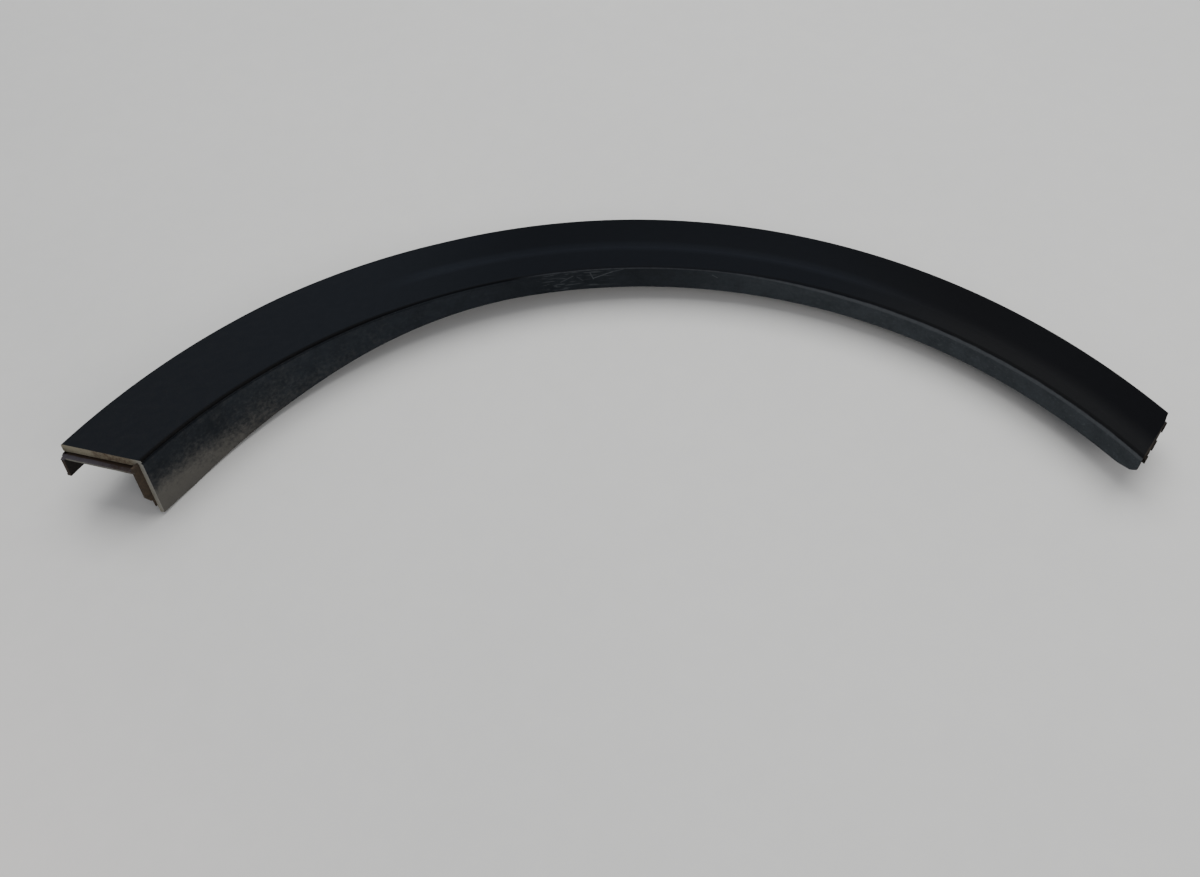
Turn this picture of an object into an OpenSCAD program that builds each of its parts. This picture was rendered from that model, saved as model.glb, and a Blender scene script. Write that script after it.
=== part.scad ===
// Wheel arch trim: one plastic moulding that covers the edge of a car's wheel arch.
// It is drawn face up: X runs along the car, Y up the car, Z out of the body side.
// Heights are measured from the flat of the face, and angles from the top of the arch.

/* [Arch] */
// Radius of the outer edge of the face
outer_r = 400; // [385:1:415]
// Width of the face at the top of the arch, from the outer edge to the fold
face_w = 56.4; // [54:0.2:60]
// How far the fold's centre stands to the right of the outer edge's centre
fold_shift = 9.6; // [5:0.2:11]
// How far the fold's centre stands below the outer edge's centre
fold_drop = 13.8; // [12:0.2:17]
// Angle from the top of the arch to the left end, along the outer edge
left_angle = 61.2; // [58:0.2:65]
// Angle from the top of the arch to the right end, along the outer edge
right_angle = 59.2; // [57:0.2:65]
// Direction of the left cut, below the horizontal
left_cut = 14.5; // [10:0.5:20]
// Direction of the right cut, below the horizontal
right_cut = 54; // [48:0.5:58]
// Lean of the left cut, outwards down the lip
left_lean = 6; // [0:0.5:10]
// Lean of the right cut, inwards down the lip
right_lean = 0; // [0:0.5:6]

/* [Face] */
// Thickness of the face at the outer edge, where it is flat
face_t_outer = 6; // [5.2:0.1:6.6]
// Thickness of the face at the fold
face_t_fold = 3.4; // [2.8:0.1:3.8]
// Radius of the rounded outer edge
edge_round = 1.8; // [1:0.1:2]
// Inset of the crease from the outer edge
crease_inset = 35; // [32:0.5:38]
// How far the dished outer part of the face falls from the crease to the outer edge
face_fall = 2.4; // [1:0.1:2.8]
// Power of the dish's curve, where 1 is a straight slope
dish_power = 1.8; // [1.2:0.1:2.5]
// Angle left of the top where the dish begins to fade
fade_angle = 18; // [14:0.5:22]
// Length of the outer edge over which the dish fades to the flat face
fade_length = 130; // [100:5:150]

/* [Lip] */
// Thickness of the lip
lip_t = 2.6; // [2:0.1:3.2]
// Depth of the lip below the face at the top of the arch
lip_depth = 18.5; // [16:0.5:21]
// How much deeper the lip is at the right end, before its corner is sloped off
right_fall = 2.6; // [0:0.2:4]
// Distance left of the arch's top where the lip begins to deepen
deepen_from = 10; // [0:5:40]
// Radius of the large circle in which it deepens
deepen_r = 1160; // [1000:20:1400]
// Distance left of the arch's top from where the lower edge runs straight
straight_from = 225; // [180:5:280]
// Depth of the lip's lower corner on the left cut
left_corner_depth = 47.5; // [44:0.5:50]
// Depth of the lip's lower corner on the right cut
right_corner_depth = 11; // [9:0.5:14]
// Length of the steep slope from each of these corners
corner_l = 3.4; // [2:0.2:5]
// Rise of that slope
corner_rise = 4.4; // [3:0.2:5]
// Length of the long slope in front of the right corner
slope_l = 18; // [10:1:24]
// Rise of the long slope
slope_rise = 6; // [4:0.5:7]
// Radius of the rounded fold
fold_round = 1.2; // [0.6:0.1:1.6]
// Depth of the shadow groove under the fold at the left end
groove_depth = 1.2; // [0.6:0.1:1.6]
// Height of the shadow groove
groove_h = 1.2; // [0.8:0.1:1.6]
// Depth of the groove's upper side below the face
groove_low = 1.8; // [1.7:0.1:2.2]

/* [Leg] */
// Depth of the leg along the outer edge
leg_depth = 23; // [21.5:0.5:25]
// Thickness of the leg
leg_t = 2.2; // [1.6:0.1:3]
// Inset of the leg's outer side from the outer edge
leg_inset = 3.8; // [2:0.1:4]
// How far the leg leans outwards down to its foot
leg_flare = 2; // [0:0.1:2.4]
// How far the foot turns out beyond the leg
foot_out = 1.2; // [0.6:0.1:1.6]
// Thickness of the foot
foot_t = 1.6; // [1.2:0.1:2.2]
// How far the leg stops short of the right cut
leg_short = 3; // [1:0.5:8]

/* [Joint tongue at the left end] */
// How far the tongue stands out past the left cut
tongue_out = 4.4; // [3:0.1:8]
// How far the tongue runs back under the face
tongue_back = 16; // [10:1:24]
// Thickness of the tongue
tongue_t = 2.2; // [1.8:0.1:3.2]
// Depth of the tongue's lower end down the lip
tongue_depth = 39; // [32:0.5:39.5]
// Depth to which the thin edge below the tongue's lower end runs on
thin_depth = 44; // [41:0.5:45]
// Thickness of that edge
thin_t = 1; // [0.8:0.1:1.4]

/* [Joint teeth at the right end] */
// How far the teeth stand out past the right cut
tooth_out = 2.2; // [1.4:0.1:4]
// How far the teeth run back under the face
tooth_back = 10; // [6:1:20]
// Thickness of the teeth
tooth_t = 2.4; // [1.6:0.1:3]
// Insets of the first two teeth from the outer edge
tooth_insets = [4.6, 20.8]; // [0:0.1:28]
// How far the last tooth's outer side stands outside the fold's circle
last_tooth_out = 9.4; // [8.6:0.1:11]
// Width of a tooth
tooth_w = 6; // [4:0.5:6.5]

/* [Clip seats] */
// Number of clip seats on each side of the one at the top
seats_a_side = 3; // [2:1:4]
// Angle from the top seat to the last one on each side
seats_angle = 54; // [50:0.5:54]
// Inset of the clip seats' centres from the outer edge
seat_inset = 20; // [18:0.5:21]
// Length of a seat along the trim
seat_l = 18; // [16:0.5:20]
// Width of a seat across the trim
seat_w = 17; // [15:0.5:18]
// Thickness of a seat's walls
seat_wall = 1.6; // [1.2:0.1:2.2]
// Depth of the seats' plates below the face
seat_depth = 20; // [18:0.5:21]
// Thickness of a seat's plate
plate_t = 2.2; // [1.6:0.1:3]
// Radius of the hole for a push-in clip
clip_hole_r = 4; // [3.2:0.1:4.5]
// Width of the slot that the clip's neck slides in by
clip_slot_w = 4.4; // [3:0.1:4.8]

/* [Ribs] */
// Thickness of the ribs
rib_t = 1.4; // [1:0.1:2]
// Depth of the ribs below the face
rib_depth = 11; // [9:0.5:14]
// Number of cross ribs between two clip seats
ribs_between = 2; // [1:1:3]

/* [Hidden] */
$fn = 96;

// How deep a form runs into the one that it grows from
bury = 0.8;
// Clearance of a cutting form past what it cuts
past = 3;
// Angle and length by which every arc is first made too long, for the end cuts
extra = 6;
reach = 120;
lip_reach = 62;
// How many lengths of the long slope its cutting form has
long_slopes = 2;
dish_steps = 6;
round_steps = 4;
fold_centre = [fold_shift, -fold_drop];
fold_r = outer_r - face_w + fold_drop;
hub_r = outer_r - face_w - past;
// Where the dish begins to fade, its form tilts out of the face, a hair higher than before
tilt = atan(face_fall / fade_length);
seam_lift = 0.03;
seam_overlap = 0.1;
// Depth and slope of the lip's lower edge where it begins to run straight
slope_run = straight_from - deepen_from;
slope_drop = sqrt(deepen_r * deepen_r - slope_run * slope_run);
straight_depth = lip_depth + deepen_r - slope_drop;
slope = slope_run / slope_drop;

function along(angle) = [sin(angle), cos(angle)];
function inset_width(angle) = // from the outer edge to the fold
    let (d = fold_centre * along(angle))
    outer_r - d - sqrt(fold_r * fold_r - fold_centre * fold_centre + d * d);
function face_under(r) = // height of the flat face's underside
    -face_t_fold - (face_t_outer - face_t_fold) * (r - hub_r) / (outer_r - hub_r);
function dish(inset) = -face_fall * (1 - pow(inset / crease_inset, dish_power));
function round_off(angle) = [outer_r - edge_round * (1 - sin(angle)), -edge_round * (1 - cos(angle))];

// Moves to a place on the arch, with X along it and Y outwards
module at(angle, r) {
    rotate([0, 0, -angle]) translate([0, r, 0]) children();
}

// Turns a section, drawn as radius and height, from one angle of the arch to another
module arc(from, to) {
    rotate([0, 0, 90 - to]) rotate_extrude(angle = to - from, $fn = 360) children();
}

// Moves to the outer corner at the left cut, with X along the cut and Y into the trim
module at_left_cut() {
    translate(concat(outer_r * along(-left_angle), 0))
        rotate([0, 0, -left_cut]) rotate([-left_lean, 0, 0]) children();
}

// The same for the right cut, with X pointing outwards
module at_right_cut() {
    translate(concat(outer_r * along(right_angle), 0))
        rotate([0, 0, right_cut]) rotate([right_lean, 0, 0]) children();
}

// What lies between two distances outside the left cut, which are negative inside it
module left_side(near, far) {
    at_left_cut() translate([-reach, -far, -reach]) cube([3 * reach, far - near, 2 * reach]);
}

module right_side(near, far) {
    at_right_cut() translate([-2 * reach, -far, -reach]) cube([3 * reach, far - near, 2 * reach]);
}

// What lies outside the dished surface, with its rounded edge, between two angles
module dish_space(from, to) {
    edge = dish(edge_round);
    arc(from, to)
        polygon(concat(
            [[outer_r - crease_inset, 2 * past]],
            [for (i = [0 : dish_steps])
                let (inset = crease_inset + (edge_round - crease_inset) * i / dish_steps)
                [outer_r - inset, dish(inset)]],
            [for (i = [1 : round_steps]) round_off(90 * i / round_steps) + [0, edge]],
            [[outer_r + past, edge - edge_round], [outer_r + past, 2 * past]]));
}

// The face: a plate that is flat at the left end, and dished outside the crease elsewhere
module face() {
    difference() {
        arc(-left_angle - extra, right_angle + extra)
            polygon([[hub_r, 0], [outer_r, 0], [outer_r, face_under(outer_r)], [hub_r, face_under(hub_r)]]);
        translate(concat(fold_centre, -past - face_t_outer))
            cylinder(r = fold_r + lip_t / 2, h = face_t_outer + 2 * past, $fn = 360);
        dish_space(-fade_angle, right_angle + extra);
        translate([0, 0, seam_lift]) rotate([0, 0, fade_angle]) rotate([0, tilt, 0]) rotate([0, 0, -fade_angle])
            dish_space(-left_angle - extra, seam_overlap - fade_angle);
        arc(-left_angle - extra, right_angle + extra)
            polygon(concat([for (i = [0 : round_steps]) round_off(90 * i / round_steps)],
                [[outer_r + past, -edge_round], [outer_r + past, past], [outer_r - edge_round, past]]));
    }
}

// The lip, from the rounded fold down, with the shadow groove under the fold
module lip() {
    difference() {
        translate(fold_centre) arc(-left_angle - extra, right_angle + 2 * extra)
            polygon(concat(
                [for (i = [0 : round_steps]) let (a = 90 * i / round_steps)
                    [fold_r + fold_round * (1 - sin(a)), -fold_round * (1 - cos(a))]],
                [[fold_r, -lip_reach], [fold_r + lip_t, -lip_reach], [fold_r + lip_t, 0]]));
        lip_lower_side();
        translate([fold_centre.x - groove_depth, fold_centre.y, -groove_low - groove_h])
            difference() {
                cylinder(r = fold_r, h = groove_h, $fn = 360);
                cylinder(r = fold_r - 2 * past, h = groove_h, $fn = 360);
            }
    }
}

// All that lies below the lip: it falls a little to the right, and to the left first in a large circle
// and then straight on
module lip_lower_side() {
    rotate([90, 0, 0]) translate([0, 0, -outer_r]) linear_extrude(outer_r) {
        intersection() {
            translate([-deepen_from, -lip_depth - deepen_r]) circle(deepen_r, $fn = 360);
            translate([-straight_from, -lip_reach - past]) square([straight_from - deepen_from, lip_reach]);
        }
        polygon([[-straight_from, -straight_depth],
            [-outer_r, -straight_depth - (outer_r - straight_from) * slope],
            [-outer_r, -lip_reach - past], [-straight_from, -lip_reach - past]]);
        polygon([[-deepen_from, -lip_depth],
            [outer_r, -lip_depth - right_fall * (outer_r + deepen_from) / fold_r],
            [outer_r, -lip_reach - past], [-deepen_from, -lip_reach - past]]);
    }
}

// The lip's lower corner at a cut: what lies below a steep slope, and a long one where it has a length.
// The long slope runs on past the lip's lower edge.
module corner_below(depth, run, rise) {
    far = corner_l + long_slopes * run;
    low = depth + corner_rise;
    rotate([90, 0, 90]) translate([0, 0, -outer_r / 2]) linear_extrude(outer_r / 2)
        polygon([[-past, -depth], [0, -depth], [corner_l, -low], [far, -low - long_slopes * rise],
            [far, -lip_reach - past], [-past, -lip_reach - past]]);
}

// The leg along the outer edge, with its foot turned out
module leg() {
    out = outer_r - leg_inset;
    low = out + leg_flare;
    arc(-left_angle - extra, right_angle + extra)
        polygon([[out, face_under(out) + bury], [low, foot_t - leg_depth],
            [low + foot_out, foot_t - leg_depth], [low + foot_out, -leg_depth],
            [low - leg_t, -leg_depth], [low - leg_t, foot_t - leg_depth],
            [out - leg_t, face_under(out) + bury]]);
}

// A layer under the face, between two insets from the outer edge
module layer(near, far, t) {
    arc(-left_angle - extra, right_angle + extra)
        polygon([for (r = [outer_r - near, outer_r - far]) [r, face_under(r) + bury],
            for (r = [outer_r - far, outer_r - near]) [r, face_under(r) - t]]);
}

// The tongue that slides under the neighbouring moulding, along the face and down the lip
module tongue() {
    intersection() {
        left_side(-tongue_back, tongue_out);
        union() {
            difference() {
                layer(leg_inset + leg_t / 2, outer_r - hub_r, tongue_t);
                translate(concat(fold_centre, -reach))
                    cylinder(r = fold_r + lip_t - bury, h = 2 * reach, $fn = 360);
            }
            translate(fold_centre) arc(-left_angle - extra, -left_angle / 2)
                translate([fold_r + lip_t, 0])
                    polygon([[-bury, -face_t_fold], [-bury, -thin_depth], [thin_t, -thin_depth],
                        [thin_t, -tongue_depth], [tongue_t, -tongue_depth], [tongue_t, -face_t_fold]]);
        }
    }
}

// The teeth that lock into the neighbouring moulding at the right end
module teeth() {
    intersection() {
        right_side(-tooth_back, tooth_out);
        for (near = concat(tooth_insets, outer_r - fold_r - last_tooth_out))
            layer(near, near + tooth_w, tooth_t);
    }
}

// A box under the face, open at one end, whose plate holds a push-in clip by its neck
module clip_seat() {
    top = face_under(outer_r - seat_inset) + bury;
    h = seat_depth + top;
    translate([0, 0, -seat_depth]) difference() {
        translate([-seat_l / 2, -seat_w / 2, 0]) cube([seat_l, seat_w, h]);
        translate([-seat_l / 2 + seat_wall, -seat_w / 2 + seat_wall, plate_t])
            cube([seat_l, seat_w - 2 * seat_wall, h]);
        translate([0, 0, -past]) cylinder(r = clip_hole_r, h = plate_t + 2 * past);
        translate([0, -clip_slot_w / 2, -past]) cube([seat_l, clip_slot_w, plate_t + 2 * past]);
    }
}

// A rib across the trim, from the leg to the lip
module cross_rib(angle) {
    far = inset_width(angle) - lip_t / 2;
    near = leg_inset + leg_t / 2;
    top = face_under(outer_r - far) + bury;
    at(angle, outer_r - far) translate([-rib_t / 2, 0, -rib_depth])
        cube([rib_t, far - near, rib_depth + top]);
}

module clip_seats_and_ribs() {
    pitch = seats_angle / seats_a_side;
    for (i = [-seats_a_side : seats_a_side]) at(i * pitch, outer_r - seat_inset) clip_seat();
    for (i = [-seats_a_side : seats_a_side - 1], k = [1 : ribs_between])
        cross_rib((i + k / (ribs_between + 1)) * pitch);
}

module wheel_arch_trim() {
    color([0.1, 0.11, 0.12]) translate([0, seat_inset - outer_r, seat_depth]) {
        difference() {
            union() {
                face();
                lip();
            }
            left_side(0, reach);
            right_side(0, reach);
            at_left_cut() mirror([1, 0, 0]) corner_below(left_corner_depth, 0, 0);
            at_right_cut() corner_below(right_corner_depth, slope_l, slope_rise);
        }
        difference() {
            leg();
            left_side(tongue_out, reach);
            right_side(-leg_short, reach);
        }
        tongue();
        teeth();
        clip_seats_and_ribs();
    }
}

wheel_arch_trim();
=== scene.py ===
import math
import bpy
from mathutils import Matrix, Vector


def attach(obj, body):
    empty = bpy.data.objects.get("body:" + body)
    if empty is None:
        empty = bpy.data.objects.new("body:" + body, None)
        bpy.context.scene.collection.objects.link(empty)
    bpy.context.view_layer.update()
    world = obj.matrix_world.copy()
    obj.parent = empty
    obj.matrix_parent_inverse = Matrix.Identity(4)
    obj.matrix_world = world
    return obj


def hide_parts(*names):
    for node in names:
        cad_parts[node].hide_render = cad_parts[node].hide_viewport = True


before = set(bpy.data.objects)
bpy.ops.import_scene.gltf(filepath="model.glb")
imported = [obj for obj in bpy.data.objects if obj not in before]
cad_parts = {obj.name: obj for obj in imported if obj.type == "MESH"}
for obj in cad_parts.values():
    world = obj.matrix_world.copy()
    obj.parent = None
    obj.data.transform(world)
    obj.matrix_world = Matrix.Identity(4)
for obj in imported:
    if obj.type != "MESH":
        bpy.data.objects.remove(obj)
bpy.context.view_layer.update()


class Field:
    # one socket of a node tree, so that formulas can be written as sums
    def __init__(self, tree, socket):
        self.tree, self.socket = tree, socket

    def __add__(self, other): return calc(self.tree, "ADD", self, other)
    def __radd__(self, other): return calc(self.tree, "ADD", other, self)
    def __sub__(self, other): return calc(self.tree, "SUBTRACT", self, other)
    def __rsub__(self, other): return calc(self.tree, "SUBTRACT", other, self)
    def __mul__(self, other): return calc(self.tree, "MULTIPLY", self, other)
    def __rmul__(self, other): return calc(self.tree, "MULTIPLY", other, self)
    def __truediv__(self, other): return calc(self.tree, "DIVIDE", self, other)
    def __rtruediv__(self, other): return calc(self.tree, "DIVIDE", other, self)
    def __pow__(self, other): return calc(self.tree, "POWER", self, other)
    def __neg__(self): return calc(self.tree, "MULTIPLY", self, -1.0)


def put(tree, value, socket):
    if isinstance(value, Field):
        tree.links.new(value.socket, socket)
    elif value is not None:
        socket.default_value = value


def calc(tree, how, *values):
    node = tree.nodes.new("ShaderNodeMath")
    node.operation = how
    for i, value in enumerate(values):
        put(tree, value, node.inputs[i])
    return Field(tree, node.outputs[0])


def sinOf(a): return calc(a.tree, "SINE", a)
def cosOf(a): return calc(a.tree, "COSINE", a)
def rootOf(a): return calc(a.tree, "SQRT", a)
def above(a, b=0.0): return calc(a.tree, "MAXIMUM", a, b)
def below(a, b=0.0): return calc(a.tree, "MINIMUM", a, b)
def softAbove(a, b, k): return calc(a.tree, "SMOOTH_MAX", a, b, k)
def softBelow(a, b, k): return calc(a.tree, "SMOOTH_MIN", a, b, k)
def clamped(a): return below(above(a, 0.0), 1.0)


def mixed(a, b, how):
    return a + (b - a) * how


def ease(a):
    # slow at both ends, so that the mesh is dense at the rounded edges
    return a * a * a * (a * (a * 6.0 - 15.0) + 10.0)


def node(tree, kind, **inputs):
    made = tree.nodes.new(kind)
    for name, value in inputs.items():
        put(tree, value, made.inputs[name.replace("_", " ")])
    return made


def spread(tree, vector):
    made = tree.nodes.new("ShaderNodeSeparateXYZ")
    tree.links.new(vector, made.inputs[0])
    return [Field(tree, made.outputs[i]) for i in range(3)]


def joined(tree, x, y, z):
    made = tree.nodes.new("ShaderNodeCombineXYZ")
    for i, value in enumerate((x, y, z)):
        put(tree, value, made.inputs[i])
    return Field(tree, made.outputs[0])


# the moulding's sizes, in millimetres from the arch's centre
arch = {"outerR": 400.0, "foldR": 357.4, "foldRight": 9.6, "foldDown": 13.8,
        "edgeT": 6.6, "foldT": 3.4, "edgeRound": 1.8, "foldRound": 1.2,
        "crease": 35.0, "fall": 2.4, "dishPower": 1.8, "fadeFrom": -18.0, "fadeLength": 130.0,
        "lipT": 3.2, "lipDepth": 18.3, "deepenFrom": 60.0, "deepenR": 670.0,
        "straightFrom": 195.0, "levelDepth": 49.7,
        "cornerL": 3.4, "cornerRise": 3.6, "slopeL": 18.0, "slopeRise": 5.4,
        "grooveDepth": 1.2, "grooveTop": 1.8, "grooveTall": 1.2, "grooveSide": 0.3, "grooveLap": 0.25,
        "hubDown": 3.0, "into": 0.8,  # how deep a bar runs into the face it grows from
        "stepsAlong": 200, "originR": 380.0, "plateDown": 20.0}
# each end is a flat cut through the outer corner: angle of the corner, direction and lean of the cut
cuts = {"left": {"corner": -61.2, "turn": -165.5, "lean": 6.0, "side": 1.0, "toFold": 64.0},
        "right": {"corner": 59.2, "turn": 126.0, "lean": 0.0, "side": -1.0, "lipCorner": 12.2,
                  "lowerOut": 1.5, "lowerFull": 4.0, "outerClear": 4.0, "foldClear": 2.0,
                  "foldFade": 6.0}}


def rad(degrees):
    return math.radians(degrees)


def cutAngle(end, r, z, out):
    # the angle at which a circle about the arch's centre meets an end's cut, moved outwards
    cut = cuts[end]
    level = arch["outerR"] * math.cos(rad(cut["corner"] - cut["turn"]))
    reach = (level + out / math.cos(rad(cut["lean"]))) - z * math.tan(rad(cut["lean"]))
    turned = calc(r.tree, "ARCCOSINE", reach / r)
    return turned * cut["side"] + rad(cut["turn"])


def faceWidth(theta):
    # from the outer edge to the fold, whose circle has its own centre
    off = sinOf(theta) * arch["foldRight"] - cosOf(theta) * arch["foldDown"]
    centre = arch["foldRight"] ** 2 + arch["foldDown"] ** 2
    return arch["outerR"] - off - rootOf(off * off + (arch["foldR"] ** 2 - centre))


def faceUnder(inset):
    # the face's underside, from its thick outer edge to its thin fold
    hub = arch["outerR"] - (arch["foldR"] - arch["foldDown"] - arch["hubDown"])
    slope = (arch["edgeT"] - arch["foldT"]) / hub
    return inset * slope - arch["edgeT"]


def lipFall(theta, w):
    # the lip's lower edge is level to the right; to the left it falls in a circle, then straight,
    # and is level again at its end
    r = arch["outerR"] - w
    x = r * sinOf(theta) + arch["deepenFrom"]
    run = arch["straightFrom"] - arch["deepenFrom"]
    curved = above(below(x, 0.0), -run)
    drop = math.sqrt(arch["deepenR"] ** 2 - run * run)
    fall = arch["deepenR"] - rootOf(arch["deepenR"] ** 2 - curved * curved)
    fall = fall + below(x + run, 0.0) * (-run / drop)
    fall = below(fall + arch["lipDepth"], arch["levelDepth"])
    # its corner at the right cut is sloped off, steeply and then gently
    cut = cuts["right"]
    base = arch["outerR"] * math.cos(rad(cut["corner"] - cut["turn"]))
    inside = base - r * cosOf(theta - rad(cut["turn"]))
    fall = below(fall, above(inside) * (arch["cornerRise"] / arch["cornerL"]) + cut["lipCorner"])
    gentle = (inside - arch["cornerL"]) * (arch["slopeRise"] / arch["slopeL"])
    return below(fall, gentle + (cut["lipCorner"] + arch["cornerRise"]))


def paramCube(tree, along, across, through):
    # a cube whose points run from 0 to 1 each way, to be moved to its shape
    cube = node(tree, "GeometryNodeMeshCube", Size=(1, 1, 1), Vertices_X=along + 1,
                Vertices_Y=across + 1, Vertices_Z=through + 1)
    where = spread(tree, tree.nodes.new("GeometryNodeInputPosition").outputs[0])
    return cube.outputs["Mesh"], [p + 0.5 for p in where]


def moved(tree, mesh, r, z, theta):
    # theta is measured from the top of the arch, to the right
    place = joined(tree, r * sinOf(theta), r * cosOf(theta), z)
    made = tree.nodes.new("GeometryNodeSetPosition")
    tree.links.new(mesh, made.inputs["Geometry"])
    put(tree, place, made.inputs["Position"])
    return made.outputs["Geometry"]


def kept(tree, mesh, name, value):
    made = tree.nodes.new("GeometryNodeStoreNamedAttribute")
    made.data_type, made.domain = "FLOAT", "POINT"
    made.inputs["Name"].default_value = name
    tree.links.new(mesh, made.inputs["Geometry"])
    put(tree, value, made.inputs["Value"])
    return made.outputs["Geometry"]


def painted(tree, mesh, material, where=None):
    made = tree.nodes.new("GeometryNodeSetMaterial")
    tree.links.new(mesh, made.inputs["Geometry"])
    made.inputs["Material"].default_value = material
    if where is not None:
        put(tree, where, made.inputs["Selection"])
    return made.outputs["Geometry"]


def onEnds(tree):
    # picks the two end faces of a parameter cube
    normal = spread(tree, tree.nodes.new("GeometryNodeInputNormal").outputs[0])
    return calc(tree, "GREATER_THAN", calc(tree, "ABSOLUTE", normal[0]), 0.5)


def skin(tree, along, material, cutMaterial):
    # the face and the lip: one closed sheet, swept from the left cut to the right cut
    steps = {"side": 8, "dish": 22, "facet": 16, "fold": 14, "lip": 12}
    sheet = {"nearFold": 4.0, "roundness": 1.76, "rim": 1.5, "rimRun": 2.0, "innerRound": 0.8}
    mesh, (t, q, d) = paramCube(tree, along, sum(steps.values()), 1)
    total, done, parts = sum(steps.values()), 0, {}
    for name, count in steps.items():
        parts[name] = clamped((q * float(total) - float(done)) / float(count))
        done += count
    side, dish, facet = ease(parts["side"]), ease(parts["dish"]), ease(parts["facet"])
    near, lower = parts["fold"] * sheet["nearFold"], parts["lip"]

    def section(theta):
        w = faceWidth(theta)
        r0 = arch["outerR"]
        # the dish's form tilts out of the face to the left, and ends where it has left it
        rise = above(sinOf(rad(arch["fadeFrom"]) - theta)) * (r0 * arch["fall"] / arch["fadeLength"])
        lip = lipFall(theta, w)
        sideTall = arch["edgeT"] - above(arch["fall"] - rise)
        path = (side - 1.0) * sideTall + dish * arch["crease"] + facet * (w - arch["crease"])
        down = near + lower * (lip - sheet["nearFold"])
        path = path + down
        k0, k1 = sheet["roundness"] * arch["edgeRound"], sheet["roundness"] * arch["foldRound"]
        u = softBelow(softAbove(path, 0.0, k0), w, k1)
        z = -softAbove(-path, 0.0, k0) - softAbove(path - w, 0.0, k1)
        sunk = (clamped(u / arch["crease"]) ** arch["dishPower"] - 1.0) * arch["fall"] + rise
        z = z + below(sunk, 0.0)
        # the groove under the fold, which grows to the left
        grooveTo = arch["grooveTop"] + arch["grooveTall"] + arch["grooveLap"]
        pulse = clamped((path - w - (arch["grooveTop"] - arch["grooveLap"])) / arch["grooveSide"])
        pulse = pulse * clamped((w + grooveTo - path) / arch["grooveSide"])
        groove = above(-sinOf(theta)) * arch["grooveDepth"] * pulse
        # inner side
        wi = w - arch["lipT"]
        rimEnd = sheet["rim"] + sheet["rimRun"]
        walk = side * sheet["rimRun"] + sheet["rim"] + dish * (arch["crease"] - rimEnd)
        walk = walk + facet * (wi - arch["crease"]) + down * ((lip - arch["foldT"]) / lip)
        ui = softBelow(walk, wi, sheet["innerRound"])
        zi = faceUnder(ui) - softAbove(walk - wi, 0.0, sheet["innerRound"])
        return r0 - mixed(u - groove, ui, d), mixed(z, zi, d), path, w

    theta = t * rad(cuts["right"]["corner"] - cuts["left"]["corner"]) + rad(cuts["left"]["corner"])
    right = cuts["right"]
    for turn in range(2):
        r, z, path, w = section(theta)
        # under its upper edge the right cut stands out a little, but not at the outer corner or the lip
        inset = arch["outerR"] - r
        out = clamped((inset - right["outerClear"]) / right["outerClear"])
        out = out * clamped((w - right["foldClear"] - inset) / right["foldFade"])
        out = out * clamped(-z / right["lowerFull"]) * right["lowerOut"]
        theta = mixed(cutAngle("left", r, z, 0.0), cutAngle("right", r, z, out), t)
    r, z, path, w = section(theta)
    mesh = kept(tree, mesh, "pastFold", path - w)
    mesh = kept(tree, mesh, "acrossFace", path)
    mesh = painted(tree, painted(tree, mesh, material), cutMaterial, onEnds(tree))
    return moved(tree, mesh, r, z, theta)


def arcBar(tree, along, start, end, near, far, top, bottom, material, endMaterial=None, slope=0.0):
    # a bar under the face. Its start and end each name a cut, how far outside it the bar ends and a first
    # angle, near and far are insets that may follow the fold, and slope lets the bottom fall to the end
    mesh, (t, q, d) = paramCube(tree, along, 1, 1)
    mesh = painted(tree, mesh, material)
    if endMaterial:
        mesh = painted(tree, mesh, endMaterial, onEnds(tree))
    theta = t * (rad(end[2]) - rad(start[2])) + rad(start[2])
    for turn in range(3):
        inset = mixed(near(theta, d), far(theta, d), q)
        r, z = arch["outerR"] - inset, mixed(top(inset), bottom(inset) - t * slope, d)
        if turn < 2:
            theta = mixed(cutAngle(start[0], r, z, start[1]), cutAngle(end[0], r, z, end[1]), t)
    return moved(tree, mesh, r, z, theta)


def box(tree, low, high):
    made = node(tree, "GeometryNodeMeshCube", Size=tuple(b - a for a, b in zip(low, high)))
    shift = node(tree, "GeometryNodeTransform", Translation=tuple((a + b) / 2 for a, b in zip(low, high)))
    tree.links.new(made.outputs["Mesh"], shift.inputs["Geometry"])
    return shift.outputs["Geometry"]


def without(tree, solid, *cutters):
    made = tree.nodes.new("GeometryNodeMeshBoolean")
    made.operation = "DIFFERENCE"
    tree.links.new(solid, made.inputs["Mesh 1"])
    for cutter in cutters:
        tree.links.new(cutter, made.inputs["Mesh 2"])
    return made.outputs["Mesh"]


def onPoints(tree, count, theta, r, solid, scale=None):
    # copies of a solid along the arch, each turned to its own place
    points = node(tree, "GeometryNodePoints", Count=count)
    put(tree, joined(tree, r * sinOf(theta), r * cosOf(theta), 0.0), points.inputs["Position"])
    turn = tree.nodes.new("FunctionNodeEulerToRotation")
    put(tree, joined(tree, 0.0, 0.0, -theta), turn.inputs[0])
    made = tree.nodes.new("GeometryNodeInstanceOnPoints")
    tree.links.new(points.outputs[0], made.inputs["Points"])
    tree.links.new(solid, made.inputs["Instance"])
    tree.links.new(turn.outputs[0], made.inputs["Rotation"])
    if scale is not None:
        put(tree, scale, made.inputs["Scale"])
    return made.outputs["Instances"]


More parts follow.
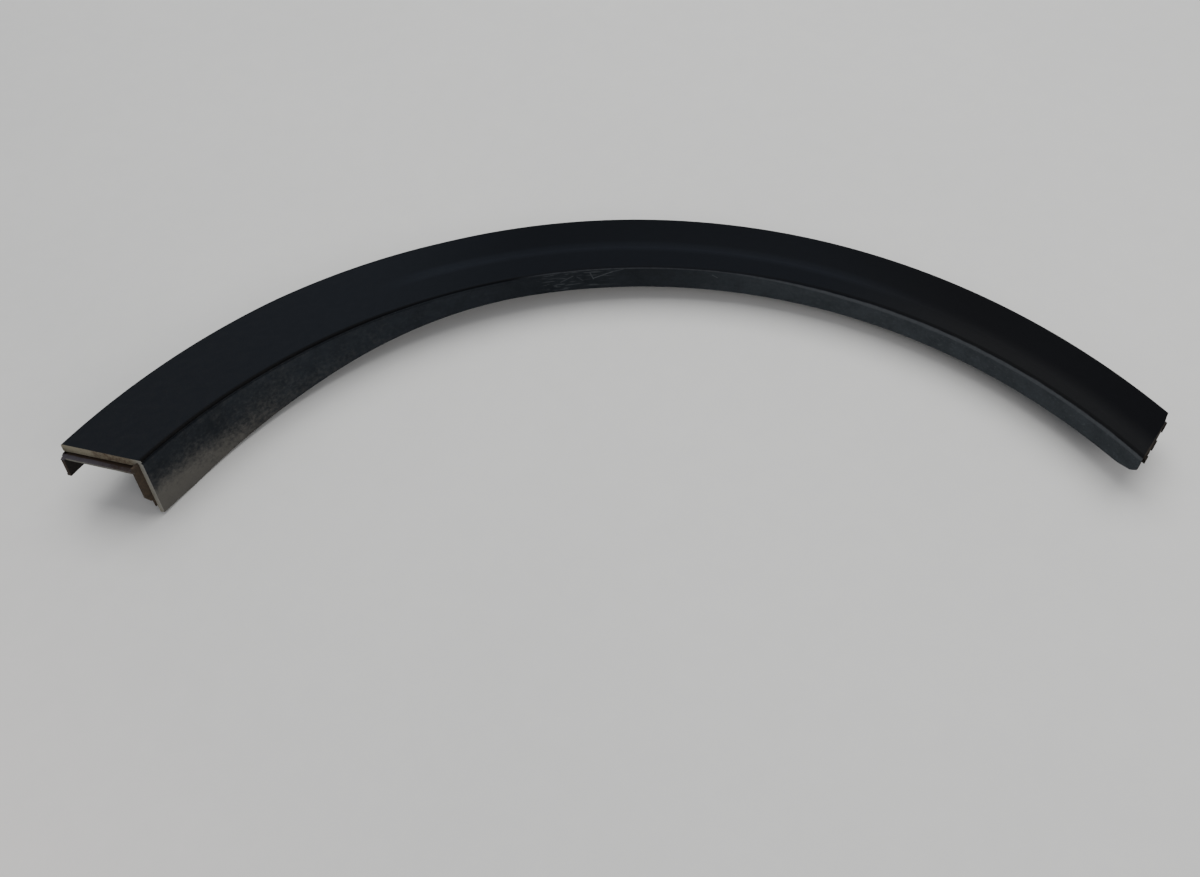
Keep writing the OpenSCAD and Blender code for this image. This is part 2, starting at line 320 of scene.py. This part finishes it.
def clipSeats(tree, material):
    # hollow boxes, open to one side, with a keyhole for a push-in clip in the bottom plate
    seat = {"count": 7, "pitch": 18.0, "inset": 20.0, "long": 18.0, "wide": 17.0, "wall": 1.6,
            "deep": 20.0, "plate": 2.2, "holeR": 4.0, "slot": 4.4, "past": 3.0, "around": 48}
    top, past = faceUnder(seat["inset"]) + arch["into"], seat["past"]
    x, y, low = seat["long"] / 2, seat["wide"] / 2, -seat["deep"]
    body = box(tree, (-x, -y, low), (x, y, top))
    inside = box(tree, (seat["wall"] - x, seat["wall"] - y, low + seat["plate"]),
                 (x + past, y - seat["wall"], top + past))
    slot = box(tree, (0, -seat["slot"] / 2, low - past),
               (x + past, seat["slot"] / 2, low + seat["plate"] + past))
    hole = node(tree, "GeometryNodeMeshCylinder", Vertices=seat["around"], Radius=seat["holeR"],
                Depth=seat["plate"] + 4)
    lower = node(tree, "GeometryNodeTransform", Translation=(0, 0, low + seat["plate"] / 2))
    tree.links.new(hole.outputs["Mesh"], lower.inputs["Geometry"])
    solid = painted(tree, without(tree, body, inside, slot, lower.outputs["Geometry"]), material)
    index = Field(tree, tree.nodes.new("GeometryNodeInputIndex").outputs[0])
    theta = (index - (seat["count"] - 1) / 2) * rad(seat["pitch"])
    return onPoints(tree, seat["count"], theta, arch["outerR"] - seat["inset"] + 0.0 * theta, solid)


def crossRibs(tree, material):
    # two ribs between each pair of clip seats, from the leg to the lip
    rib = {"count": 12, "pitch": 18.0, "from": -54.0, "thick": 1.4, "deep": 11.0, "near": 3.9}
    index = Field(tree, tree.nodes.new("GeometryNodeInputIndex").outputs[0])
    pair = calc(tree, "FLOOR", index / 2.0)
    theta = (pair * rib["pitch"] + (index - pair * 2.0 + 1.0) * (rib["pitch"] / 3) + rib["from"]) * rad(1.0)
    far = faceWidth(theta) - arch["lipT"] / 2
    tall = faceUnder(far) + (arch["into"] + rib["deep"])
    unit = painted(tree, box(tree, (-rib["thick"] / 2, 0, 0), (rib["thick"] / 2, 1, 1)), material)
    bars = onPoints(tree, rib["count"], theta, arch["outerR"] - far, unit,
                    joined(tree, 1.0, far - rib["near"], tall))
    down = node(tree, "GeometryNodeTransform", Translation=(0, 0, -rib["deep"]))
    tree.links.new(bars, down.inputs["Geometry"])
    return down.outputs["Geometry"]


def buildTrim(looks):
    tree = bpy.data.node_groups.new("archTrim", "GeometryNodeTree")
    tree.interface.new_socket("Steps along", in_out="INPUT", socket_type="NodeSocketInt")
    tree.interface.new_socket("Geometry", in_out="OUTPUT", socket_type="NodeSocketGeometry")
    given = Field(tree, tree.nodes.new("NodeGroupInput").outputs["Steps along"])
    leg = {"deep": 23.0, "thick": 2.2, "inset": 2.8, "flare": 0.9, "footOut": 0.6, "footT": 1.6,
           "out": 5.8, "short": 3.0, "wallIn": 0.4, "endBack": 8.0, "endLap": 0.3, "footLap": 0.2}
    tongue = {"out": 4.6, "back": 16.0, "down": 7.1, "thick": 1.5, "plateInset": 2.1,
              "endDeep": 31.5, "deep": 37.0, "edgeOut": 1.9, "thinOut": 0.9, "thinDeep": 43.5, "thin": 0.8,
              "ribDeep": 6.2, "ribT": 3.0, "webIn": 0.9, "webInset": 2.5, "lap": 0.1,
              "cap": 0.7, "capLap": 0.05, "capBack": 2.0, "stepLap": 0.02,
              "steps": ((2.9, 0.9), (1.4, 0.2))}  # the cap's lower steps: how far out, and their inset
    teeth = ({"inset": 4.6, "wide": 6.0, "out": 2.2}, {"inset": 20.8, "wide": 6.0, "out": 2.2},
             {"inset": 34.6, "wide": 3.6, "out": 2.0})
    tooth = {"back": 10.0, "thick": 2.4}
    into, lap, top = arch["into"], tongue["lap"], tongue["down"]
    few, some = 6, 12  # steps along the short bars
    shapes = [skin(tree, given, looks["skin"], looks["cut"])]

    def bar(steps, *shape, **more):
        shapes.append(arcBar(tree, steps, *shape, **more))

    def level(z):
        return lambda u: 0.0 * u - z

    def under(z):
        return lambda u: faceUnder(u) + z

    def inset(value, flare=0.0):
        return lambda a, d: value - flare * d

    def pastLip(value):
        return lambda a, d: faceWidth(a) - arch["lipT"] + value

    # the leg and its foot; its end stands out below the tongue
    outer, low, foot = leg["inset"], leg["inset"] - leg["flare"], leg["deep"] - leg["footT"]
    legSides = inset(outer, leg["flare"]), inset(outer + leg["thick"], leg["flare"])
    legFrom, legTo = ("left", leg["out"], -61.0), ("right", -leg["short"], 59.0)
    bar(given, ("left", -leg["wallIn"], -61.0), legTo, *legSides, under(into), level(foot),
        looks["under"], looks["legEnd"])
    bar(given, legFrom, legTo, inset(low - leg["footOut"]), inset(low + leg["thick"]),
        level(foot), level(leg["deep"]), looks["under"], looks["legEnd"])
    bar(few, legFrom, ("left", -leg["endBack"], -60.0), *legSides, level(top + leg["endLap"]),
        level(foot + leg["footLap"]), looks["under"], looks["legEnd"])
    # the rib along the left cut, and the web under it that the tongue hangs on
    ribTo = ("left", -tongue["ribT"], -60.0)
    bar(some, ("left", 0.0, -61.0), ribTo, inset(lap), pastLip(lap),
        level(arch["foldT"] - into), level(tongue["ribDeep"]), looks["cut"])
    bar(some, ("left", -tongue["webIn"], -61.0), ribTo, inset(tongue["webInset"]), pastLip(lap),
        level(tongue["ribDeep"] - into), level(top + into), looks["legEnd"])
    # the tongue's plate, and its corner over the leg, in three steps
    tongueFrom, tongueTo = ("left", tongue["out"], -61.0), ("left", -tongue["back"], -59.0)
    bar(some, tongueFrom, tongueTo, inset(tongue["plateInset"]), pastLip(lap),
        level(top), level(top + tongue["thick"]), looks["tongue"], looks["tongueEnd"])
    bar(few, ("left", leg["out"] + lap, -61.0), tongueTo, inset(outer - lap),
        inset(outer + leg["thick"] + lap), level(top - tongue["capLap"]),
        level(top + tongue["cap"]), looks["tongue"], looks["tongue"])
    for out, start in tongue["steps"]:
        bar(few, ("left", out, -61.0), ("left", -tongue["capBack"], -60.0), inset(start),
            inset(outer + lap), level(top - tongue["stepLap"]), level(top + tongue["cap"]),
            looks["tongue"], looks["tongue"])
    # the tongue behind the lip: a sloped end, the main part, and a thin lower edge
    behind = pastLip(-tongue["thick"]), pastLip(lap)
    bar(few, tongueFrom, ("left", tongue["edgeOut"], -60.0), *behind, level(arch["foldT"]),
        level(tongue["endDeep"]), looks["tongueLip"], slope=tongue["deep"] - tongue["endDeep"])
    bar(some, ("left", tongue["edgeOut"] + lap, -61.0), tongueTo, *behind,
        level(arch["foldT"]), level(tongue["deep"]), looks["tongueLip"])
    bar(some, ("left", tongue["thinOut"], -61.0), tongueTo, pastLip(-tongue["thin"]), pastLip(lap),
        level(tongue["deep"] - into), level(tongue["thinDeep"]), looks["tongueLip"])
    for one in teeth:
        bar(few, ("right", -tooth["back"], 57.0), ("right", one["out"], 59.0), inset(one["inset"]),
            inset(one["inset"] + one["wide"]), under(into), under(-tooth["thick"]), looks["teeth"])
    shapes.append(clipSeats(tree, looks["under"]))
    shapes.append(crossRibs(tree, looks["under"]))
    join = tree.nodes.new("GeometryNodeJoinGeometry")
    for shape in reversed(shapes):
        tree.links.new(shape, join.inputs[0])
    real = tree.nodes.new("GeometryNodeRealizeInstances")
    tree.links.new(join.outputs[0], real.inputs[0])
    scale = node(tree, "GeometryNodeTransform",
                 Translation=(0, -arch["originR"] / 1000, arch["plateDown"] / 1000),
                 Scale=(0.001, 0.001, 0.001))
    tree.links.new(real.outputs[0], scale.inputs["Geometry"])
    tree.links.new(scale.outputs[0], tree.nodes.new("NodeGroupOutput").inputs[0])

    maker = bpy.data.objects.new("trimMaker", bpy.data.meshes.new("trimMaker"))
    bpy.context.scene.collection.objects.link(maker)
    modifier = maker.modifiers.new("archTrim", "NODES")
    modifier.node_group = tree
    steps = next(i.identifier for i in tree.interface.items_tree if i.name == "Steps along")
    modifier[steps] = arch["stepsAlong"]
    bpy.context.view_layer.update()
    mesh = bpy.data.meshes.new_from_object(maker.evaluated_get(bpy.context.evaluated_depsgraph_get()))
    bpy.data.objects.remove(maker)
    mesh.name = "archTrimVisual"
    mesh.shade_smooth()
    mesh.set_sharp_from_angle(angle=rad(32))
    piece = bpy.data.objects.new("archTrimVisual", mesh)
    bpy.context.scene.collection.objects.link(piece)
    print("trim:", len(mesh.vertices), "points,", len(mesh.polygons), "faces")
    return piece


def newMaterial(name):
    material = bpy.data.materials.new(name)
    material.use_nodes = True
    tree = material.node_tree
    return material, tree, tree.nodes["Principled BSDF"]


def group(name, inputs, outputs):
    # a shared node group: its tree, its inputs as fields and the node that takes its results
    tree = bpy.data.node_groups.new(name, "ShaderNodeTree")
    for label, kind, value in inputs:
        socket = tree.interface.new_socket(label, in_out="INPUT", socket_type="NodeSocket" + kind)
        if value is not None:
            socket.default_value = value
    for label in outputs:
        tree.interface.new_socket(label, in_out="OUTPUT", socket_type="NodeSocketFloat")
    given = tree.nodes.new("NodeGroupInput")
    return tree, [Field(tree, given.outputs[i[0]]) for i in inputs], tree.nodes.new("NodeGroupOutput")


def used(tree, shared, **inputs):
    made = tree.nodes.new("ShaderNodeGroup")
    made.node_tree = shared
    for label, value in inputs.items():
        put(tree, value, made.inputs[label.replace("_", " ")])
    return [Field(tree, output) for output in made.outputs]


def between(a, low, high):
    # 0 below low, 1 above high, eased
    t = clamped((a - low) / (high - low))
    return t * t * (3.0 - 2.0 * t)


def band(a, low, high, soft):
    return between(a, low - soft, low) * (1.0 - between(a, high, high + soft))


def noise(tree, place, size, detail=2.0):
    # size in millimetres, places in metres
    made = node(tree, "ShaderNodeTexNoise", Vector=place, Scale=1000.0 / size, Detail=detail, Roughness=0.6)
    return Field(tree, made.outputs[0])


def stroke(a, b, start, end, wide):
    # a soft stroke between two points, each given as (a, b)
    run, rise = end[0] - start[0], end[1] - start[1]
    t = clamped(((a - start[0]) * run + (b - start[1]) * rise) / (run * run + rise * rise))
    u, v = a - (t * run + start[0]), b - (t * rise + start[1])
    return 1.0 - between(rootOf(u * u + v * v), wide * 0.3, wide)


def objectPlace(tree):
    return Field(tree, tree.nodes.new("ShaderNodeTexCoord").outputs["Object"])


def stored(tree, name):
    made = tree.nodes.new("ShaderNodeAttribute")
    made.attribute_name = name
    return Field(tree, made.outputs["Fac"])


def blend(tree, how, a, b):
    made = tree.nodes.new("ShaderNodeMix")
    made.data_type = "RGBA"
    put(tree, how, made.inputs[0])
    for socket, value in ((made.inputs[6], a), (made.inputs[7], b)):
        put(tree, value if isinstance(value, Field) else (*value, 1.0), socket)
    return Field(tree, made.outputs[2])


def shaded(tree, color, how):
    # a colour made lighter or darker
    made = tree.nodes.new("ShaderNodeVectorMath")
    made.operation = "SCALE"
    put(tree, color, made.inputs[0])
    put(tree, how, made.inputs[3])
    return Field(tree, made.outputs[0])


def raised(tree, height, distance, strength=1.0):
    made = node(tree, "ShaderNodeBump", Height=height, Distance=distance, Strength=strength)
    return Field(tree, made.outputs[0])


def grainGroup():
    # the fine grain of moulded plastic
    tree, (place, size), end = group("plasticGrain", [("Place", "Vector", None), ("Size", "Float", 0.5)],
                                     ["Height", "Shade"])
    fine, coarse = noise(tree, place, size, 3.0), noise(tree, place, size * 9.0, 3.0)
    put(tree, fine, end.inputs["Height"])
    put(tree, 0.72 + 0.36 * fine + 0.2 * coarse, end.inputs["Shade"])
    return tree


def dustGroup():
    # dust in soft patches, broken up by small specks
    tree, (place, amount, patch, speck), end = group(
        "settledDust", [("Place", "Vector", None), ("Amount", "Float", 0.5), ("Patch size", "Float", 14.0),
                        ("Speck size", "Float", 1.2)], ["Mask"])
    broken = (noise(tree, place, patch, 4.0) - 0.5) * 0.9 + (noise(tree, place, speck, 3.0) - 0.5) * 1.3
    put(tree, between(amount + broken * (0.35 + 0.65 * amount), 0.05, 1.0), end.inputs["Mask"])
    return tree


def wearGroup():
    # a worn line along an edge, wider in some places than in others
    tree, (place, away, width), end = group(
        "wornEdge", [("Place", "Vector", None), ("Away", "Float", 0.0), ("Width", "Float", 1.0)], ["Mask"])
    ragged = width * (0.55 + 0.9 * noise(tree, place, 9.0, 4.0))
    line = 1.0 - between(calc(tree, "ABSOLUTE", away), ragged * 0.35, ragged)
    put(tree, line * (0.45 + noise(tree, place, 2.5, 3.0)), end.inputs["Mask"])
    return tree


def scratchGroup():
    # short scratches that lie mostly along one direction
    tree, (place, amount, turn), end = group(
        "scratches", [("Place", "Vector", None), ("Amount", "Float", 0.2), ("Turn", "Vector", (0, 0, 0))],
        ["Mask"])
    made = node(tree, "ShaderNodeMapping", Vector=place, Scale=(60.0, 700.0, 700.0))
    put(tree, turn, made.inputs["Rotation"])
    fine = node(tree, "ShaderNodeTexNoise", Vector=Field(tree, made.outputs[0]), Scale=1.0, Detail=2.0)
    put(tree, between(Field(tree, fine.outputs[0]), 0.74 - 0.2 * amount, 0.84 - 0.2 * amount),
        end.inputs["Mask"])
    return tree


grain, dust, wear, scratch = grainGroup(), dustGroup(), wearGroup(), scratchGroup()


def skinLook():
    # black plastic, with painted reflection and shade on the face: darker in the dish; lighter down the lip
    # to the right, dusty down the lip to the left
    tint = {"flat": (0.0096, 0.0117, 0.0155), "facet": (0.0058, 0.0072, 0.0102),
            "dish": (0.0046, 0.0058, 0.0082), "arm": (0.0032, 0.0035, 0.0048),
            "band": (0.0098, 0.0102, 0.0114), "lip": (0.0208, 0.0246, 0.0300),
            "lipRight": (0.0395, 0.0455, 0.0515), "dark": (0.0018, 0.0019, 0.0023),
            "worn": (0.072, 0.078, 0.086), "scratch": (0.086, 0.094, 0.102),
            "dust": (0.122, 0.116, 0.104), "speck": (0.050, 0.046, 0.040)}
    # where each change lies, in millimetres: along x, negative to the left, then across the face or
    # down from the fold
    span = {"dish": (-190.0, -40.0), "arm": (130.0, 250.0), "crease": (-110.0, 170.0, 60.0),
            "lipRight": (-60.0, 190.0), "darkEnd": (215.0, 280.0), "hollow": (-40.0, 30.0, 70.0),
            "lineEnd": (-70.0, -50.0), "lineBroad": (110.0, 190.0), "lineRight": (60.0, 180.0),
            "wornFar": (70.0, 180.0), "wornFrom": (-75.0, -40.0), "dust": (110.0, 290.0),
            "dustDeep": (215.0, 300.0), "dustThin": (40.0, 150.0), "marks": (-42.0, -6.0, 14.0),
            "scuffs": (60.0, 280.0), "specks": (60.0, 330.0)}
    level = {"dish": (30.0, 36.0), "crease": (30.5, 34.5, 5.0), "band": (-22.0, -6.0), "lip": (0.6, 1.8),
             "foldLine": (-1.6, -0.6, 0.9), "dust": (8.0, 38.0), "dustDeep": (22.0, 46.0)}
    strength = {"crease": 0.5, "wall": 0.36, "darkEnd": 0.22, "hollow": 0.26, "groove": 0.8,
                "broadGroove": 0.15, "dust": 0.85, "marks": 0.4, "scuffs": 0.35, "specks": 0.35}
    # single scratches: start and end, as x and distance from the fold, and how strong
    strokes = (((-14.6, 3.0), (-12.5, 9.0), 0.6), ((-12.5, 8.5), (1.5, 3.2), 0.7),
               ((1.5, 3.2), (9.0, 1.2), 0.4), ((-36.0, 9.5), (-27.0, 5.0), 0.45),
               ((72.0, 4.0), (75.5, 6.0), 0.6), ((-24.0, 6.0), (-20.0, 10.0), 0.3))
    material, tree, surface = newMaterial("trimSkin")
    place = objectPlace(tree)
    x = spread(tree, place.socket)[0] * 1000.0
    across, past = stored(tree, "acrossFace"), stored(tree, "pastFold")
    height, shade = used(tree, grain, Place=place, Size=0.55)
    lip = between(past, *level["lip"])
    # the face: its tints are painted reflection and shade, lighter on the flat left arm and darker in the
    # dish, on the facet and on the outer right arm, with a painted sheen in a band near the fold on the
    # right arm
    face = blend(tree, between(x, *span["dish"]), tint["flat"],
                 blend(tree, between(across, *level["dish"]), tint["dish"], tint["facet"]))
    face = blend(tree, between(x, *span["arm"]), face,
                 blend(tree, between(past, *level["band"]), tint["arm"], tint["band"]))
    # painted highlight along the crease
    crease = band(across, *level["crease"]) * band(x, *span["crease"])
    face = shaded(tree, face, 1.0 + strength["crease"] * crease)
    # the lip
    wall = blend(tree, between(x, *span["lipRight"]), tint["lip"], tint["lipRight"])
    mottle = noise(tree, place, 12.0, 5.0) * 0.8 + noise(tree, place, 2.4, 3.0) * 0.5
    endShade = 1.0 - strength["darkEnd"] * between(-x, *span["darkEnd"])
    wall = shaded(tree, wall, (strength["wall"] + mottle) * endShade)
    # painted shade: the lip is darker around the top of the arch
    wall = shaded(tree, wall, 1.0 - strength["hollow"] * band(x, *span["hollow"]))
    color = blend(tree, lip, face, wall)
    # painted shadow in the groove under the fold, broad at the left end; to the right a thin dark line
    # along the fold, beside a worn line
    leftPart, broad = 1.0 - between(x, *span["lineEnd"]), between(-x, *span["lineBroad"])
    side = calc(tree, "ABSOLUTE", past + 0.3)
    grooveShadow = (1.0 - between(side, 0.4 + 0.3 * broad, 1.6 + 1.5 * broad)) * leftPart
    foldLine = band(past, *level["foldLine"]) * (1.0 - leftPart)
    foldLine = foldLine * (0.28 + 0.3 * between(x, *span["lineRight"]))
    grooveShadow = grooveShadow * (strength["groove"] + strength["broadGroove"] * broad)
    color = blend(tree, above(grooveShadow, foldLine), color, tint["dark"])
    far = between(x, *span["wornFar"])
    worn = used(tree, wear, Place=place, Away=past - (0.5 + 1.9 * far), Width=0.9 + 1.3 * far)[0]
    worn = worn * between(x, *span["wornFrom"]) * (0.55 + 0.45 * far)
    color = blend(tree, clamped(worn), color, tint["worn"])
    # dust: down the lip at the deep end, thinning out to the right
    amount = between(-x, *span["dust"]) * (0.08 + 0.26 * between(past, *level["dust"]))
    amount = amount + between(-x, *span["dustThin"]) * 0.08
    amount = amount + between(-x, *span["dustDeep"]) * between(past, *level["dustDeep"]) * 0.85
    dusty = used(tree, dust, Place=place, Amount=amount, Patch_size=22.0, Speck_size=3.0)[0] * lip
    color = blend(tree, dusty * strength["dust"], color, tint["dust"])
    # scratches beside the end of the dark line, and scuffs on the right part of the lip
    marks = used(tree, scratch, Place=place, Amount=1.0, Turn=(0.0, 0.0, 0.2))[0]
    marks = marks * band(x, *span["marks"]) * lip * strength["marks"]
    for start, end, strong in strokes:
        marks = above(marks, stroke(x, past, start, end, 0.6) * strong)
    marks = marks * (0.55 + 0.9 * noise(tree, place, 1.6, 2.0))
    scuffs = used(tree, scratch, Place=place, Amount=0.75, Turn=(0.0, 0.0, 0.9))[0]
    scuffs = scuffs * between(x, *span["scuffs"]) * lip
    color = blend(tree, clamped(marks + scuffs * strength["scuffs"]), color, tint["scratch"])
    # a few specks of dirt near the left end of the face
    bits = used(tree, dust, Place=place, Amount=between(-x, *span["specks"]) * 0.3, Patch_size=5.0,
                Speck_size=1.0)[0]
    color = blend(tree, bits * (1.0 - lip) * strength["specks"], color, tint["speck"])
    put(tree, shaded(tree, color, shade), surface.inputs["Base Color"])
    put(tree, 0.42 + 0.3 * clamped(dusty + bits) + 0.08 * shade, surface.inputs["Roughness"])
    surface.inputs["Specular IOR Level"].default_value = 0.035
    put(tree, raised(tree, height, 0.00006), surface.inputs["Normal"])
    return material


def leftCutPlace(place):
    # in millimetres: along the left cut from its fold, and in from the cut
    cut = cuts["left"]
    turn, corner = rad(cut["turn"]), rad(cut["corner"])
    x, y, z = spread(place.tree, place.socket)
    across, up = x * 1000.0, y * 1000.0 + arch["originR"]
    along = up * math.sin(turn) - across * math.cos(turn)
    outerCorner = arch["outerR"] * (math.cos(corner) * math.sin(turn) - math.sin(corner) * math.cos(turn))
    inside = across * math.sin(turn) + up * math.cos(turn) - arch["outerR"] * math.cos(corner - turn)
    return along - (outerCorner + cut["toFold"]), inside


def cutLook():
    # the cut edges: dusty cream with brown marks at the left end, dark and dirty at the right end
    tint = {"cream": (0.290, 0.268, 0.200), "grey": (0.255, 0.255, 0.240), "brown": (0.085, 0.052, 0.032),
            "dark": (0.008, 0.007, 0.006), "rust": (0.05, 0.036, 0.024)}
    material, tree, surface = newMaterial("trimCut")
    place = objectPlace(tree)
    x = spread(tree, place.socket)[0] * 1000.0
    past = leftCutPlace(place)[0]
    height, shade = used(tree, grain, Place=place, Size=0.7)
    left = blend(tree, between(past, -14.0, -2.0), tint["cream"], tint["grey"])
    spots = band(past, -38.0, -14.0, 6.0) * 0.30 - between(past, -8.0, -2.0) * 0.15 + 0.24
    brown = used(tree, dust, Place=place, Amount=spots, Patch_size=5.0, Speck_size=1.4)
    left = blend(tree, brown[0], left, tint["brown"])
    rust = used(tree, dust, Place=place, Amount=0.4, Patch_size=4.0, Speck_size=1.2)
    right = blend(tree, rust[0], tint["dark"], tint["rust"])
    color = blend(tree, between(x, -20.0, 20.0), left, right)
    put(tree, shaded(tree, color, shade), surface.inputs["Base Color"])
    surface.inputs["Roughness"].default_value = 0.8
    surface.inputs["Specular IOR Level"].default_value = 0.1
    put(tree, raised(tree, height, 0.0001), surface.inputs["Normal"])
    return material


def dirtyLook(name, plain, dirtAndShade, amount, patch, roughness, grows=None):
    # unseen or half-seen plastic with dirt on it, which may grow thick along x; where it does, a painted
    # shadow in the dirt colour also lies beside the left cut
    cutShade = {"from": 2.4, "to": 3.6, "ragged": 1.6, "amount": 0.9}
    material, tree, surface = newMaterial(name)
    place = objectPlace(tree)
    height, shade = used(tree, grain, Place=place, Size=0.7)
    if grows:
        amount = between(spread(tree, place.socket)[0] * 1000.0, *grows) * 0.5 + amount
        # painted shadow: the dirt colour laid thick in a ragged strip along the left cut, where the skin's
        # cut end shades the tongue
        away = leftCutPlace(place)[1] + noise(tree, place, 3.0) * cutShade["ragged"]
        amount = amount + (1.0 - between(away, cutShade["from"], cutShade["to"])) * cutShade["amount"]
    mask = used(tree, dust, Place=place, Amount=amount, Patch_size=patch, Speck_size=1.5)[0]
    put(tree, shaded(tree, blend(tree, mask, plain, dirtAndShade), shade), surface.inputs["Base Color"])
    put(tree, roughness + 0.2 * mask, surface.inputs["Roughness"])
    surface.inputs["Specular IOR Level"].default_value = 0.15
    put(tree, raised(tree, height, 0.0001), surface.inputs["Normal"])
    return material


def tableLook():
    # a pale table top with hardly visible clouds and marks, and a painted pool of warm light towards the
    # near left
    material, tree, surface = newMaterial("tableTop")
    place = objectPlace(tree)
    clouds, marks = noise(tree, place, 260.0, 3.0), noise(tree, place, 18.0, 4.0)
    color = blend(tree, clouds, (0.74, 0.745, 0.735), (0.80, 0.80, 0.785))
    x, y, z = spread(tree, place.socket)
    # painted pool of light: the table is lighter and warmer towards the near left
    color = blend(tree, between(-x - y, 0.45, 1.0), color, (0.93, 0.895, 0.87))  # warm, near left
    put(tree, shaded(tree, color, 0.97 + 0.06 * marks), surface.inputs["Base Color"])
    surface.inputs["Roughness"].default_value = 0.6
    surface.inputs["Specular IOR Level"].default_value = 0.25
    put(tree, raised(tree, marks, 0.0002, 0.3), surface.inputs["Normal"])
    return material


dirtyParts = {
    "under": {"plain": (0.010, 0.010, 0.011), "dirtAndShade": (0.045, 0.034, 0.026), "amount": 0.35,
              "patch": 12.0, "roughness": 0.6},
    "legEnd": {"plain": (0.020, 0.015, 0.012), "dirtAndShade": (0.085, 0.062, 0.045), "amount": 0.45,
               "patch": 5.0, "roughness": 0.7},
    # the tongue's dirt colour also paints the shadow beside the left cut
    "tongue": {"plain": (0.056, 0.050, 0.061), "dirtAndShade": (0.028, 0.018, 0.012), "amount": 0.2,
               "patch": 6.0, "roughness": 0.5, "grows": (-330.0, -306.0)},
    "tongueEnd": {"plain": (0.17, 0.17, 0.15), "dirtAndShade": (0.060, 0.044, 0.032), "amount": 0.3,
                  "patch": 6.0, "roughness": 0.6, "grows": (-318.0, -290.0)},
    "tongueLip": {"plain": (0.028, 0.022, 0.017), "dirtAndShade": (0.075, 0.055, 0.038), "amount": 0.5,
                  "patch": 5.0, "roughness": 0.7},
    "teeth": {"plain": (0.0045, 0.0045, 0.0045), "dirtAndShade": (0.060, 0.046, 0.034), "amount": 0.36,
              "patch": 3.0, "roughness": 0.7}}
looks = {"skin": skinLook(), "cut": cutLook()}
for name, part in dirtyParts.items():
    looks[name] = dirtyLook("trim" + name[0].upper() + name[1:], **part)

print("looks:", len(looks), "materials")
trim = buildTrim(looks)
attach(trim, "root")
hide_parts("wheel_arch_trim")


def buildFloor(piece):
    # the trim rocks onto its left lip and its leg, so the table is a slightly tilted plane in its frame
    table = {"slopeX": 0.0258, "slopeY": 0.0790, "half": 3.0, "gap": 0.0002}
    level = min(v.co.z - table["slopeX"] * v.co.x - table["slopeY"] * v.co.y for v in piece.data.vertices)
    h = table["half"]
    corners = [(x, y, level - table["gap"] + table["slopeX"] * x + table["slopeY"] * y)
               for x, y in ((-h, -h), (h, -h), (h, h), (-h, h))]
    mesh = bpy.data.meshes.new("table")
    mesh.from_pydata(corners, [], [(0, 1, 2, 3)])
    mesh.materials.append(tableLook())
    floor = bpy.data.objects.new("table", mesh)
    bpy.context.scene.collection.objects.link(floor)
    return floor


floor = buildFloor(trim)
print("table: tilted under the trim, lowest point at",
      round(min(v.co.z for v in trim.data.vertices) * 1000, 2), "mm")


def areaLight(name, place, target, size, power, color=(1, 1, 1)):
    data = bpy.data.lights.new(name, "AREA")
    data.shape, data.size, data.size_y = "RECTANGLE", size[0], size[1]
    data.energy, data.color = power, color
    lamp = bpy.data.objects.new(name, data)
    bpy.context.scene.collection.objects.link(lamp)
    lamp.location = place
    lamp.rotation_mode = "QUATERNION"
    lamp.rotation_quaternion = (Vector(target) - Vector(place)).to_track_quat("-Z", "Y")
    return lamp


# soft light from above, a wide window behind, and a weak warm light from the right of the viewer
areaLight("ceiling", (0.15, 0.6, 2.1), (0, -0.1, 0), (2.4, 1.8), 43, color=(1.0, 0.995, 0.975))
areaLight("window", (1.5, 2.8, 0.8), (0, 0, 0.1), (3.4, 1.2), 10)
areaLight("front", (0.7, -1.3, 0.9), (0.1, -0.1, 0), (0.9, 0.6), 5.5, color=(1.0, 0.96, 0.93))

world = bpy.data.worlds.new("room")
bpy.context.scene.world = world
world.use_nodes = True
sky = world.node_tree.nodes["Background"]
sky.inputs["Color"].default_value = (0.93, 0.95, 1.0, 1)
sky.inputs["Strength"].default_value = 0.34

view = {"place": (0.03647, -0.59289, 0.52862), "down": 51.5, "turn": 5.6615, "roll": -5.406,
        "focal": 1050.0, "wide": 1200.0, "film": 36.0}  # focal and wide in pixels, film in millimetres
down, roll = rad(view["down"]), rad(view["roll"])
turned = Matrix.Rotation(rad(view["turn"]), 3, "Z")
side = turned @ Vector((1, 0, 0))
ahead = turned @ Vector((0, math.cos(down), -math.sin(down)))
upright = turned @ Vector((0, math.sin(down), math.cos(down)))
across = side * math.cos(roll) + upright * math.sin(roll)
upward = upright * math.cos(roll) - side * math.sin(roll)
axes = Matrix((across, upward, -ahead)).transposed()
camera = bpy.data.objects.new("camera", bpy.data.cameras.new("camera"))
bpy.context.scene.collection.objects.link(camera)
camera.data.sensor_width = view["film"]
camera.data.lens = view["focal"] / view["wide"] * view["film"]
camera.data.clip_start, camera.data.clip_end = 0.01, 30
camera.matrix_world = Matrix.Translation(view["place"]) @ axes.to_4x4()
bpy.context.scene.camera = camera
